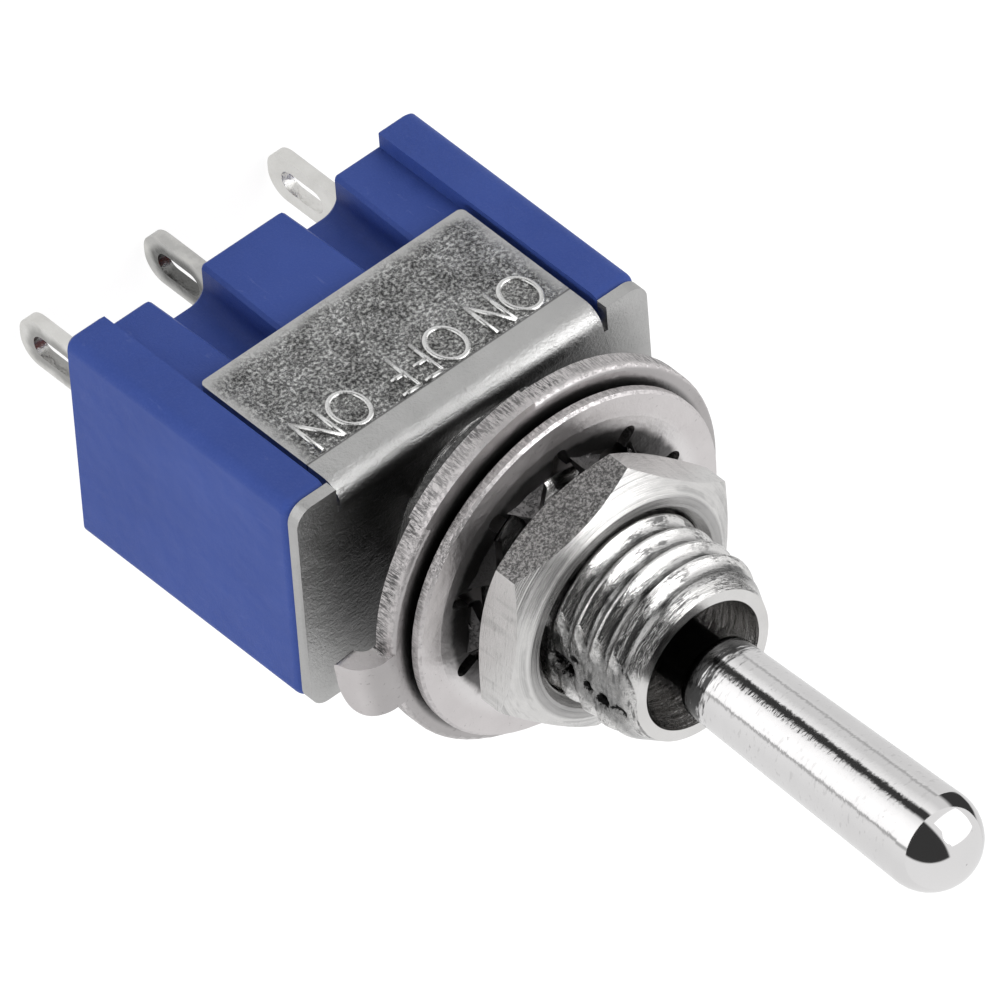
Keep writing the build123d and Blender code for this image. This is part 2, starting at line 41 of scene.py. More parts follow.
# Threaded bushing, in millimetres
CREST_R = 3.0
ROOT_R = 2.7
PITCH = 0.75
ROOT_SHARE = 0.22          # flat at the root, as a share of half the pitch
CREST_SHARE = 0.89         # where the flat of the crest starts
THREAD_START = 0.12
THREAD_RUN_IN = 0.3        # length in which the thread reaches its full depth
MOUTH_Z = 9.42
RIM_R = 2.48
LEAD_IN = 1.05
KEYWAY_X = -2.62
KEYWAY_START = 0.35
KEYWAY_ROUGH = 0.07
POINTS_AROUND = 160
ROWS_PER_PITCH = 14
HARD_EDGE_DEG = 40

# Torn pits in the keyway: middle's Y and Z, half width, half height and depth, in millimetres
KEYWAY_PITS = [
    (-0.20, 6.42, 0.34, 0.50, 0.50), (-0.36, 7.45, 0.20, 0.24, 0.22), (-0.46, 8.12, 0.22, 0.28, 0.24),
    (-0.38, 8.85, 0.15, 0.30, 0.16), (0.35, 7.0, 0.14, 0.16, 0.10),
]
PIT_RAGGED = 0.3

# Rest of the bushing's section as (z, radius): down the bore and the ball's seat, up the lip and spigot
BORE_SECTION = [
    (MOUTH_Z, 2.12), (9.2, 2.108), (7.0, 1.874), (4.836, 1.636), (4.5, 1.84), (4.1, 1.99), (3.6, 2.05),
    (0.0, 2.05), (-0.75, 2.167), (-0.75, 2.75), (-0.4, 2.75), (-0.4, 2.5), (0.0, 2.5), (0.0, CREST_R),
    (THREAD_START, CREST_R),
]

# Lettered flap, in millimetres
FLAP_Y = 3.77
FLAP_FRONT_Y = 3.5         # only the flap's front lies beyond it
FIELD_END_Z = -1.40
FIELD_BACK_Z = -5.92
FIELD_HALF = 4.86

# Raised letters: each with the larger and the smaller x that it spans, in millimetres
LETTERS = [
    ("O", 4.36, 3.28), ("N", 3.05, 2.33), ("O", 1.56, 0.48), ("F", 0.24, -0.38), ("F", -0.62, -1.22),
    ("O", -2.08, -3.18), ("N", -3.42, -4.26),
]
LETTER_LOW = -2.93
LETTER_HIGH = -1.52
ROUND_LETTER_POINTS = 40
F_BAR_RISE = 0.05          # of the F's second bar above the middle
F_BAR_SHORT = 0.12         # by which that bar is shorter than the top one
STROKE_WIDTH = 0.19
STROKE_HEIGHT = 0.065
STROKE_SINK = 0.02         # its foot below the flap's surface
STROKE_SECTION = [
    (-1.0, 0.0), (-0.82, 0.62), (-0.4, 0.95), (0.0, 1.0), (0.4, 0.95), (0.82, 0.62), (1.0, 0.0),
]

# Places on the pieces that their materials follow, in millimetres. Of two numbers, the mark is gone at
# the first and full at the second.
# Painted shade and dark reflection on the plate round the bushing
PLATE_SHADE_REACH = (7.4, 4.2)  # on the plate, from the bushing's axis
RIM_START_Z = 9.2
RING_TOP_Z = 3.31          # between the locating ring and the washer
TAB_REACH = (6.4, 6.25)    # the ring's tab starts beyond it, and has no hatching
TEETH_REACH = (4.52, 4.25)
REAR_NUT_TOP_Z = 2.55
FRONT_NUT_FACE_Z = 5.1
# Painted shade on the lever's shoulder, inside the bushing's mouth
SHOULDER_SHADE = (11.6, 9.9)
SHANK_END = (19.0, 18.4)   # on the lever, below its dome
EYELET_Z = -12.65
EYELET_STRAIGHT = 0.5

# Glow of the floor that only the metal's reflections see, in sectors, as bearings in degrees from X and their
# brightness
FLOOR_SECTORS = [
    (-180, 0.60), (-150, 0.56), (-110, 0.56), (-58, 0.60), (-25, 0.52), (20, 0.50), (30, 0.54), (33, 0.32),
    (37, 0.32), (40, 0.50), (58, 0.50), (68, 0.60), (80, 0.70), (86, 0.03), (99, 0.03), (105, 0.62),
    (120, 0.80), (140, 0.90), (165, 0.84), (168, 0.32), (172, 0.32), (175, 0.60), (180, 0.60),
]

# Floor: its height in millimetres and its side in metres. Of the dark patches in the glow that reflections
# see, bearings are in degrees from X and reaches in metres from the bushing's axis.
FLOOR_Z = -14.2
FLOOR_SIZE = 4
GREY_MIDDLE = (0.016, 0.022)
NEAR_PATCH_BEARING = (80, 84, 110, 116)
NEAR_PATCH_REACH = (0.022, 0.026, 0.037, 0.040)
FAR_PATCH_BEARING = 8
FAR_PATCH_HALF = (30, 22)
FAR_PATCH_REACH = (0.062, 0.07)

# The tent round it, whose dark gap and bright window have their corners in the photograph's axes
TENT_LEVEL = 0.86
TENT_WINDOW = 1.5
TENT_GAP = [
    (-0.24, 0.60, 0.77), (-0.82, -0.45, 0.36), (0.04, -0.82, 0.58), (0.62, -0.60, 0.51), (0.50, -0.20, 0.84),
]
WINDOW = [(0.13, 0.52, 0.84), (0.65, 0.76, -0.02), (0.93, 0.25, -0.25), (0.71, -0.27, 0.65)]
GAP_BLUR = 0.05
GAP_DARKNESS = 0.95
WINDOW_BLUR = 0.02

# Lamps: name, direction in the photograph's axes, distance and size in metres, watts, and whether
# metal mirrors them
LAMPS = [
    ("side", (-0.54, -0.51, 0.67), 0.35, 0.2, 0.7, False),
    ("fill", (0.7, 0.1, 0.7), 0.4, 0.25, 0.4, True),
]


class Value:
    """One shader socket that takes part in ordinary arithmetic."""

    def __init__(self, finish, socket):
        self.finish = finish
        self.socket = socket

    def math(self, operation, *terms):
        return self.finish.node("ShaderNodeMath", {"operation": operation}, dict(enumerate(terms)))

    def __add__(self, other):
        return self.math("ADD", self, other)

    def __radd__(self, other):
        return self.math("ADD", other, self)

    def __sub__(self, other):
        return self.math("SUBTRACT", self, other)

    def __rsub__(self, other):
        return self.math("SUBTRACT", other, self)

    def __mul__(self, other):
        return self.math("MULTIPLY", self, other)

    def __rmul__(self, other):
        return self.math("MULTIPLY", other, self)

    def __truediv__(self, other):
        return self.math("DIVIDE", self, other)

    def __gt__(self, other):
        return self.math("GREATER_THAN", self, other)

    def __abs__(self):
        return self.math("ABSOLUTE", self)

    def most(self, other):
        return self.math("MAXIMUM", self, other)

    def root(self):
        return self.math("SQRT", self)

    def step(self, low, high):
        """0 below low, 1 above high and smooth between; a falling step where low is above high."""
        return self.finish.node("ShaderNodeMapRange", {"interpolation_type": "SMOOTHSTEP"},
                                {"Value": self, "From Min": low, "From Max": high})

    def between(self, start, full, fading, end):
        """1 from full to fading, and 0 before start and after end."""
        return self.step(start, full) * self.step(end, fading)


class Finish:
    """One node tree with a single method that adds nodes, and short names for the common ones."""

    def __init__(self, tree):
        self.tree = tree

    def node(self, kind, settings=None, inputs=None, output=0):
        made = self.tree.nodes.new(kind)
        for name, value in (settings or {}).items():
            if name == "stops":
                self.set_stops(made.color_ramp, value)
            else:
                setattr(made, name, value)
        for name, value in (inputs or {}).items():
            socket = made.inputs[name]
            if isinstance(value, Value):
                self.tree.links.new(value.socket, socket)
            else:
                socket.default_value = value
        return None if output is None else Value(self, made.outputs[output])

    @staticmethod
    def set_stops(ramp, stops):
        while len(ramp.elements) < len(stops):
            ramp.elements.new(0.5)
        for element, (place, colour) in zip(ramp.elements, stops):
            element.position = place
            element.color = (*colour, 1)

    def place(self):
        """Position on the piece in millimetres, as a vector and as its three parts."""
        raw = self.node("ShaderNodeTexCoord", output=3)
        vector = self.node("ShaderNodeVectorMath", {"operation": "SCALE"}, {0: raw, "Scale": 1 / MM})
        return (vector, *self.parts(vector))

    def parts(self, vector):
        split = self.node("ShaderNodeSeparateXYZ", inputs={0: vector})
        outputs = split.socket.node.outputs
        return [Value(self, outputs[i]) for i in range(3)]

    def vector(self, x, y, z):
        return self.node("ShaderNodeCombineXYZ", inputs={0: x, 1: y, 2: z})

    def facing(self):
        """The surface's direction, as its three parts."""
        return self.parts(self.node("ShaderNodeNewGeometry", output=1))

    def speckle(self, vector, scale, detail=3.0, rough=0.55, distort=0.0):
        return self.node("ShaderNodeTexNoise", inputs={"Vector": vector, "Scale": scale, "Detail": detail,
                                                       "Roughness": rough, "Distortion": distort})

    def cells(self, vector, scale):
        return self.node("ShaderNodeTexVoronoi", inputs={"Vector": vector, "Scale": scale})

    def blend(self, share, low, high):
        """A colour between two, each a Value or three numbers."""
        low = low if isinstance(low, Value) else (*low, 1)
        high = high if isinstance(high, Value) else (*high, 1)
        return self.node("ShaderNodeMix", {"data_type": "RGBA"}, {0: share, 6: low, 7: high}, output=2)

    def relief(self, height, depth_mm, under=None):
        """A normal raised by height, where a height of 1 stands depth_mm above 0."""
        inputs = {"Height": height, "Distance": depth_mm * MM, "Strength": 1.0}
        if under is not None:
            inputs["Normal"] = under
        return self.node("ShaderNodeBump", inputs=inputs)


def length(one, two):
    """Length of the line that goes one along an axis and two along another."""
    return (one * one + two * two).root()


def finish_named(name):
    """A material with a Principled shader, and the Finish that adds nodes to it."""
    material = bpy.data.materials.new(name)
    material.use_nodes = True
    shader = material.node_tree.nodes["Principled BSDF"]
    return material, Finish(material.node_tree), shader


def feed(shader, **sockets):
    """Sets or links the shader's sockets, named with underscores for spaces."""
    for name, value in sockets.items():
        socket = shader.inputs[name.replace("_", " ")]
        if isinstance(value, Value):
            value.finish.tree.links.new(value.socket, socket)
        elif isinstance(value, (tuple, list)):
            socket.default_value = (*value, 1)
        else:
            socket.default_value = value


def blue_moulding():
    """Dense blue thermoset: fine grain, faint flow clouds and a few light scuffs."""
    material, f, shader = finish_named("blue_moulding")
    place, x, y, z = f.place()
    clouds = f.speckle(place, 0.35, 3)
    grain = f.speckle(place, 14, 4, 0.7)
    scuffs = f.speckle(f.vector(x * 2.2, y * 2.2, z * 0.7), 1.6, 5, 0.6, 1.2).step(0.62, 0.74)
    colour = f.blend(clouds, (0.030, 0.058, 0.235), (0.046, 0.083, 0.305))
    colour = f.blend(grain.step(0.4, 0.8) * 0.25, colour, (0.075, 0.115, 0.36))
    colour = f.blend(scuffs * 0.22, colour, (0.16, 0.2, 0.42))
    rough = 0.36 + grain * 0.16 + scuffs * 0.12
    normal = f.relief(grain, 0.012)
    normal = f.relief(clouds, 0.12, under=normal)
    feed(shader, Base_Color=colour, Roughness=rough, Normal=normal, Specular_IOR_Level=0.12)
    return material


def plated_sheet():
    """Plated sheet: sandy satin, painted dark round the bushing as shade, with a stippled field over the
    lettered flap.
    """
    material, f, shader = finish_named("plated_sheet")
    place, x, y, z = f.place()
    wander = (f.speckle(place, 1.4, 2) - 0.5) * 0.5
    inside_x = (FIELD_HALF - abs(x) + wander).step(-0.15, 0.40)
    inside_z = (z + wander).step(FIELD_BACK_Z - 0.1, FIELD_BACK_Z + 0.5)
    inside_z = inside_z * z.step(FIELD_END_Z, FIELD_END_Z - 0.05)
    field = inside_x * inside_z * (y > FLAP_FRONT_Y)
    pits = f.speckle(place, 9, 4, 0.75).step(0.42, 0.58)
    pools = f.speckle(place, 1.2, 4, 0.65).step(0.34, 0.66)
    rolling = f.speckle(f.vector(x * 0.25, y * 3, z * 3), 4, 4, 0.6)
    sand = f.speckle(place, 10, 3, 0.7)
    # Painted shade: the plate is darkened round the bushing, in place of the shade and the dark ring
    # underside that it mirrors
    plate_shade_round_bushing = length(x, y).step(*PLATE_SHADE_REACH) * z.step(-0.2, -0.05) * abs(y).step(3.75, 3.35)
    clouds = f.speckle(place, 0.8, 3)
    # Painted shade: a dark line along the crease where the stippled field ends
    crease_shade = z.step(FIELD_END_Z - 0.06, FIELD_END_Z - 0.01) * z.step(FIELD_END_Z + 0.05, FIELD_END_Z)
    crease_shade = crease_shade * (y > FLAP_FRONT_Y)
    plain = f.blend(clouds, (0.47, 0.47, 0.465), (0.60, 0.595, 0.59))
    etched = f.blend(pits, f.blend(pools, (0.05, 0.05, 0.05), (0.17, 0.17, 0.17)),
                     f.blend(pools, (0.42, 0.42, 0.41), (0.74, 0.74, 0.73)))
    colour = f.blend(field, plain, etched)
    colour = f.blend(crease_shade * 0.8, colour, (0.10, 0.10, 0.10))
    colour = f.blend(plate_shade_round_bushing * 0.85, colour, (0.03, 0.03, 0.03))
    rough = 0.29 + rolling * 0.14 - field * pits * 0.08
    normal = f.relief(rolling, 0.006)
    normal = f.relief(sand * (1 - field), 0.028, under=normal)
    normal = f.relief(pits * field, 0.04, under=normal)
    normal = f.relief(clouds, 0.06, under=normal)
    feed(shader, Base_Color=colour, Metallic=1.0, Roughness=rough, Normal=normal)
    return material


def flap_letters():
    """Tops of the raised letters: brighter and smoother than the field round them."""
    material, f, shader = finish_named("flap_letters")
    place = f.place()[0]
    grain = f.speckle(place, 9, 3, 0.6)
    colour = f.blend(grain, (0.62, 0.62, 0.61), (0.86, 0.86, 0.85))
    rough = 0.2 + grain * 0.1
    normal = f.relief(grain, 0.015)
    feed(shader, Base_Color=colour, Metallic=1.0, Roughness=rough, Normal=normal)
    return material


def turned_nickel():
    """Bright nickel on turned brass: tool lines round the axis, painted dark reflections, a pitted keyway."""
    material, f, shader = finish_named("turned_nickel")
    place, x, y, z = f.place()
    radius = length(x, y)
    rim = f.facing()[2].step(0.85, 0.95) * z.step(RIM_START_Z, RIM_START_Z + 0.15)
    key = x.step(KEYWAY_X + 0.2, KEYWAY_X + 0.12) * (1 - rim)
    lines = f.speckle(f.vector(x * 0.5, y * 0.5, z * 3.4), 2.4, 4, 0.75)
    coarse = f.speckle(f.vector(x * 0.5, y * 0.5, z * 3.5), 1.3, 3, 0.6)
    patches = f.speckle(f.vector(x * 0.8, y * 0.8, z * 1.3), 1.1, 3, 0.6).step(0.44, 0.60)
    # Painted reflection: dark smudges across the turned lines, in place of dark things the thread mirrors
    dark_reflection_smudge = patches * lines.step(0.46, 0.58) * (1 - rim) * (radius > 2.45)
    # Painted shade in the thread's roots
    root = radius.step(2.86, 2.74) * z.step(9.3, 8.8) * (radius > 2.4)
    # Painted highlight along the thread's crests
    crest = radius.step(2.95, 2.99) * (1 - rim)
    torn = f.speckle(place, 6, 4, 0.7)
    ragged = f.speckle(place, 3.2, 4, 0.75)
    pits = 0.0
    for pit_y, pit_z, half_y, half_z, _ in KEYWAY_PITS:
        reach = length((y - pit_y) / half_y, (z - pit_z) / half_z) + (ragged - 0.5) * 3.2
        pits = reach.step(1.05, 0.8).most(pits)
    pits = pits * x.step(-1.92, -2.0)
    colour = f.blend(coarse, (0.66, 0.65, 0.64), (0.88, 0.87, 0.86))
    colour = f.blend(dark_reflection_smudge * 0.85, colour, (0.07, 0.07, 0.07))
    colour = f.blend(root * 0.6, colour, (0.12, 0.12, 0.12))
    colour = f.blend(crest * 0.6, colour, (0.95, 0.94, 0.93))
    colour = f.blend(key * torn.step(0.52, 0.62) * 0.45, colour, (0.16, 0.16, 0.16))
    # Painted shade: the keyway's pits are painted near black
    colour = f.blend(pits, colour, (0.012, 0.012, 0.012))
    rough = 0.12 + lines * 0.14 + key * torn * 0.2
    normal = f.relief(lines * (1 - rim), 0.03)
    normal = f.relief(coarse, 0.03, under=normal)
    normal = f.relief(torn * key, 0.06, under=normal)
    feed(shader, Base_Color=colour, Metallic=1.0, Roughness=rough, Normal=normal)
    return material


def hex_nickel():
    """The nuts' plating: turned rings on faces and chamfers, scratched flats and one flat painted dark as a
    reflection.
    """
    material, f, shader = finish_named("hex_nickel")
    place, x, y, z = f.place()
    way_x, way_y, way_z = f.facing()
    radius = length(x, y)
    face = abs(way_z).step(0.3, 0.6)
    # Painted reflection: the flat that faces this way is painted dark, as the dark it mirrors
    mirror_dark_flat = (way_y * 0.94 - way_x * 0.34).step(0.88, 0.96)
    rings = f.speckle(f.vector(radius, radius * 0.2, z * 0.2), 9, 4, 0.8, 0.1)
    ringed = f.speckle(f.vector(x * 0.5, y * 0.5, radius * 2), 1.4, 3, 0.6).step(0.40, 0.62)
    grit = f.speckle(place, 12, 4, 0.75)
    # Painted shade: a dark ring round the front nut's bore, where it meets the thread
    mouth = face * radius.step(CREST_R + 0.72, CREST_R + 0.58) * radius.step(CREST_R + 0.02, CREST_R + 0.14)
    mouth = mouth * z.step(FRONT_NUT_FACE_Z - 0.1, FRONT_NUT_FACE_Z + 0.1)
    scores = f.speckle(f.vector(x * 0.5, y * 0.5, z * 6), 3, 4, 0.75, 0.4)
    streaks = f.speckle(f.vector(x * 2, y * 2, z * 0.3), 1.6, 2, 0.5)
    clouds = f.speckle(place, 1.1, 3)
    colour = f.blend(clouds, (0.68, 0.67, 0.66), (0.82, 0.81, 0.80))
    colour = f.blend(face * ringed * rings.step(0.35, 0.65) * 0.5, colour, (0.26, 0.26, 0.26))
    scratched = scores.step(0.55, 0.68) * 0.4 + streaks.step(0.5, 0.7) * 0.25
    colour = f.blend((1 - face) * scratched, colour, (0.30, 0.30, 0.295))
    flat_dark_reflection = mirror_dark_flat * (0.45 + grit.step(0.40, 0.58) * 0.45)
    colour = f.blend((1 - face) * flat_dark_reflection, colour, (0.05, 0.05, 0.05))
    colour = f.blend(mouth * (0.2 + rings * 0.5), colour, (0.08, 0.08, 0.08))
    rear_nut = z.step(REAR_NUT_TOP_Z + 0.05, REAR_NUT_TOP_Z - 0.05)
    shade = (way_z.step(-0.4, -0.8) * 0.85).most(rear_nut * 0.7)
    colour = f.blend(shade, colour, (0.04, 0.04, 0.04))
    rough = 0.14 + rings * face * 0.14 + (1 - face) * grit * 0.08
    normal = f.relief(rings * face, 0.035)
    normal = f.relief((grit * mirror_dark_flat + scores * 0.4) * (1 - face), 0.03, under=normal)
    feed(shader, Base_Color=colour, Metallic=1.0, Roughness=rough, Normal=normal)
    return material


def polished_lever():
    """Chromed lever: fine lathe rings that fray the edges of what it mirrors, and painted shade on its
    shoulder.
    """
    material, f, shader = finish_named("polished_lever")
    place, x, y, z = f.place()
    lathe = f.speckle(f.vector(x * 0.9, y * 0.9, z * 5), 1.6, 3, 0.7)
    fray = f.speckle(f.vector(x * 1.6, y * 1.6, z * 3.4), 2.2, 2, 0.5)
    broad = f.speckle(f.vector(x * 0.3, y * 0.3, z), 1.1, 2)
    shank = z.step(*SHANK_END)
    shoulder = z.step(*SHOULDER_SHADE)
    # Painted shade: the shoulder inside the bushing's mouth is painted near black, as the dark bore it
    # mirrors
    shoulder_shade = (shoulder + (lathe - 0.5) * 1.6).step(0.34, 0.66)
    specks = f.speckle(place, 6, 2).step(0.72, 0.78)
    colour = f.blend(broad, (0.78, 0.77, 0.77), (0.86, 0.85, 0.85))
    colour = f.blend(specks * 0.5 + fray.step(0.60, 0.70) * shank * 0.2, colour, (0.35, 0.34, 0.34))
    colour = f.blend(shoulder_shade * 0.97, colour, (0.04, 0.04, 0.04))
    rough = 0.06 + shank * lathe * 0.06 + shoulder * 0.1
    normal = f.relief(fray * shank, 0.008)
    normal = f.relief(lathe * shank, 0.004, under=normal)
    feed(shader, Base_Color=colour, Metallic=1.0, Roughness=rough, Normal=normal)
    return material


def satin_nickel():
    """Barrel-plated steel stampings: satin, faintly pink, with hatching on the sheared rims."""
    material, f, shader = finish_named("satin_nickel")
    place, x, y, z = f.place()
    way_z = f.facing()[2]
    radius = length(x, y)
    face = abs(way_z).step(0.55, 0.95)
    ring = z.step(RING_TOP_Z + 0.03, RING_TOP_Z - 0.03)
    washer = z.step(RING_TOP_Z - 0.01, RING_TOP_Z + 0.09)
    inside_tab = radius.step(*TAB_REACH)
    clouds = f.speckle(place, 0.7, 4)
    grain = f.speckle(place, 9, 3, 0.65)
    hatch = f.speckle(f.vector(x * 5, y * 5, z * 0.9), 3, 3, 0.7)
    zone = f.speckle(place, 0.45, 2).step(0.42, 0.58)
    wobble = (f.speckle(place, 2.2, 3) - 0.5) * 0.9
    burr = f.speckle(place, 7, 4, 0.7).step(0.5, 0.6) * inside_tab
    stains = f.speckle(place, 1.7, 5, 0.7, 0.8).step(0.6, 0.78)
    specks = f.speckle(place, 6, 3, 0.7).step(0.64, 0.70)
    teeth = (radius + wobble * 0.35).step(*TEETH_REACH) * washer
    beside = ring * radius.step(5.86, 5.68) * (radius > 5.0)
    edge = z + wobble * 0.15
    sheared = (ring * edge.step(3.12, 2.88) + (1 - ring) * edge.step(3.80, 3.55) * 0.6) * inside_tab
    # Painted highlight: a lighter band on the washer's face round the nut
    washer_highlight_band = radius.step(5.05, 4.6) * radius.step(4.3, 4.5) * washer
    colour = f.blend(clouds, (0.63, 0.60, 0.60), (0.77, 0.74, 0.74))
    colour = f.blend(stains * 0.35, colour, (0.42, 0.39, 0.385))
    colour = f.blend(specks * 0.4, colour, (0.22, 0.21, 0.21))
    colour = f.blend(washer_highlight_band * 0.5, colour, (0.92, 0.90, 0.90))
    hatching = sheared * hatch.step(0.42, 0.60) * (0.45 + zone * 0.45)
    colour = f.blend((1 - face) * hatching, colour, (0.07, 0.07, 0.07))
    colour = f.blend((1 - face) * burr * 0.25, colour, (0.25, 0.25, 0.25))
    shade = face * ring * 0.35 + beside * 0.45 + teeth * 0.85
    colour = f.blend(shade, colour, (0.05, 0.049, 0.049))
    # Painted shade on the faces that look down the bushing, towards the plate
    colour = f.blend(way_z.step(-0.4, -0.8) * 0.9, colour, (0.04, 0.04, 0.04))
    rough = 0.26 + grain * 0.16 + (1 - face) * 0.12
    normal = f.relief(grain, 0.008)
    normal = f.relief((hatch * sheared + burr * 0.4) * (1 - face), 0.03, under=normal)
    normal = f.relief(clouds, 0.06, under=normal)
    feed(shader, Base_Color=colour, Metallic=1.0, Roughness=rough, Normal=normal)
    return material


def tinned_lug():
    """Silvered brass lug: a soft sheen with blotches, and painted shade round the left and middle eyelets."""
    material, f, shader = finish_named("tinned_lug")
    place, x, y, z = f.place()
    clouds = f.speckle(place, 1.3, 4)
    grain = f.speckle(place, 8, 3, 0.65)
    # Painted shade round the left and middle eyelets, darker on the middle one
    beyond = (abs(z - EYELET_Z) - EYELET_STRAIGHT).most(0.0)
    reach = length(y, beyond) + (clouds - 0.5) * 0.5
    eyelet_shade = reach.step(0.85, 0.5) * x.step(2.5, 2.0)
    middle = abs(x).step(1.5, 1.0)
    colour = f.blend(clouds, (0.60, 0.59, 0.565), (0.84, 0.835, 0.815))
    colour = f.blend(middle * clouds.step(0.3, 0.6) * 0.5, colour, (0.24, 0.24, 0.235))
    colour = f.blend(eyelet_shade * (0.55 + middle * 0.3), colour, (0.07, 0.07, 0.068))
    rough = 0.24 + grain * 0.18
    normal = f.relief(clouds, 0.10)
    normal = f.relief(grain, 0.012, under=normal)
    feed(shader, Base_Color=colour, Metallic=1.0, Roughness=rough, Normal=normal)
    return material


def red_resin():
    """Cast epoxy in the base's underside: glossy dark red with small bubbles."""
    material, f, shader = finish_named("red_resin")
    place = f.place()[0]
    bubbles = f.cells(place, 2.4).step(0.05, 0.16)
    flow = f.speckle(place, 0.9, 3)
    colour = f.blend(flow, (0.30, 0.045, 0.04), (0.42, 0.08, 0.06))
    normal = f.relief(bubbles, 0.04)
    normal = f.relief(flow, 0.15, under=normal)
    feed(shader, Base_Color=colour, Roughness=0.2 + flow * 0.1, Normal=normal, Coat_Weight=0.4)
    return material


def nylon():
    """Natural nylon of the plunger."""
    material, f, shader = finish_named("nylon")
    grain = f.speckle(f.place()[0], 9, 3)
    colour = f.blend(grain, (0.74, 0.72, 0.66), (0.82, 0.80, 0.75))
    feed(shader, Base_Color=colour, Roughness=0.4 + grain * 0.15, Normal=f.relief(grain, 0.006))
    return material


def inner_metal(name, low, high, rough):
    """A plain plated metal for the small pieces inside."""
    material, f, shader = finish_named(name)
    grain = f.speckle(f.place()[0], 6, 4, 0.65)
    colour = f.blend(grain, low, high)
    normal = f.relief(grain, 0.008)
    feed(shader, Base_Color=colour, Metallic=1.0, Roughness=rough + grain * 0.15, Normal=normal)
    return material


def mesh_piece(name, vertices, faces, material):
    """A mesh object from millimetre points, cleaned of doubled points and with its faces turned out."""
    mesh = bpy.data.meshes.new(name)
    work = bmesh.new()
    points = [work.verts.new(Vector(v) * MM) for v in vertices]
    for face in faces:
        corners = []
        for index in face:
            if points[index] not in corners:
                corners.append(points[index])
        if len(corners) > 2:
            work.faces.new(corners)
    bmesh.ops.remove_doubles(work, verts=work.verts, dist=2e-7)
    bmesh.ops.dissolve_degenerate(work, edges=work.edges, dist=1e-7)
    bmesh.ops.recalc_face_normals(work, faces=work.faces)
    for face in work.faces:
        face.smooth = True
    work.to_mesh(mesh)
    work.free()
    mesh.materials.append(material)
    piece = bpy.data.objects.new(name, mesh)
    bpy.context.scene.collection.objects.link(piece)
    return piece


def thread_radius(phase):
    """Radius of the rolled thread at a phase from 0 to 1 of its pitch."""
    rise = abs(2 * phase - 1)
    if rise > CREST_SHARE:
        return CREST_R
    if rise < ROOT_SHARE:
        return ROOT_R
    share = (rise - ROOT_SHARE) / (CREST_SHARE - ROOT_SHARE)
    return ROOT_R + (CREST_R - ROOT_R) * share


def bushing_point(angle, z, phase):
    """Point of the bushing's outside, with its lead-in, its keyway and the pits pressed into that."""
    run_in = min(1.0, (z - THREAD_START) / THREAD_RUN_IN)
    radius = CREST_R + (thread_radius(phase) - CREST_R) * run_in
    cone = RIM_R + (CREST_R - RIM_R) * (MOUTH_Z - z) / LEAD_IN
    radius = min(radius, cone)
    x, y = radius * math.cos(angle), radius * math.sin(angle)
    fine = noise.noise(Vector((y * 5, z * 5, 9.1)))
    rough = noise.noise(Vector((y * 2.1, z * 2.4, 3.7))) + 0.6 * fine
    key_x = KEYWAY_X + KEYWAY_ROUGH * rough
    if z > KEYWAY_START and x < key_x:
        x = key_x
        for pit_y, pit_z, half_y, half_z, depth in KEYWAY_PITS:
            reach = math.hypot((y - pit_y) / half_y, (z - pit_z) / half_z) + PIT_RAGGED * rough
            x += depth * max(0.0, 1 - reach * reach)
    return (x, y, z)


def band(first, second):
    """Faces between two closed rings of points, given by the first point of each."""
    faces = []
    for column in range(POINTS_AROUND):
        after = (column + 1) % POINTS_AROUND
        faces.append((first + column, first + after, second + after, second + column))
    return faces


def make_threaded_bushing(material):
    """The bushing with its real thread, tapered mouth and torn keyway.

    Rows of the thread follow its helix, so each crest is one clean line.
    """
    around = POINTS_AROUND
    per_pitch = ROWS_PER_PITCH
    first = math.floor((THREAD_START - PITCH) / PITCH) * per_pitch
    last = math.ceil(MOUTH_Z / PITCH + 1) * per_pitch
    rows = last - first + 1
    vertices = []
    for row in range(first, last + 1):
        for column in range(around):
            z = row * PITCH / per_pitch + PITCH * column / around
            z = min(max(z, THREAD_START), MOUTH_Z)
            phase = (row % per_pitch) / per_pitch
            vertices.append(bushing_point(2 * math.pi * column / around, z, phase))
    faces = []
    for row in range(rows - 1):
        for column in range(around):
            here = row * around + column
            if column < around - 1:
                faces.append((here, here + 1, here + around + 1, here + around))
            elif row + 1 + per_pitch < rows:
                turned = (row + per_pitch) * around
                faces.append((here, turned, turned + around, here + around))

    start = len(vertices)
    for z, radius in BORE_SECTION:
        for column in range(around):
            angle = 2 * math.pi * column / around
            vertices.append((radius * math.cos(angle), radius * math.sin(angle), z))
    for ring in range(len(BORE_SECTION) - 1):
        faces += band(start + ring * around, start + (ring + 1) * around)
    faces += band((rows - 1) * around, start)
    piece = mesh_piece("threaded_bushing", vertices, faces, material)
    edges = piece.modifiers.new("edges", "EDGE_SPLIT")
    edges.split_angle = math.radians(HARD_EDGE_DEG)
    return piece


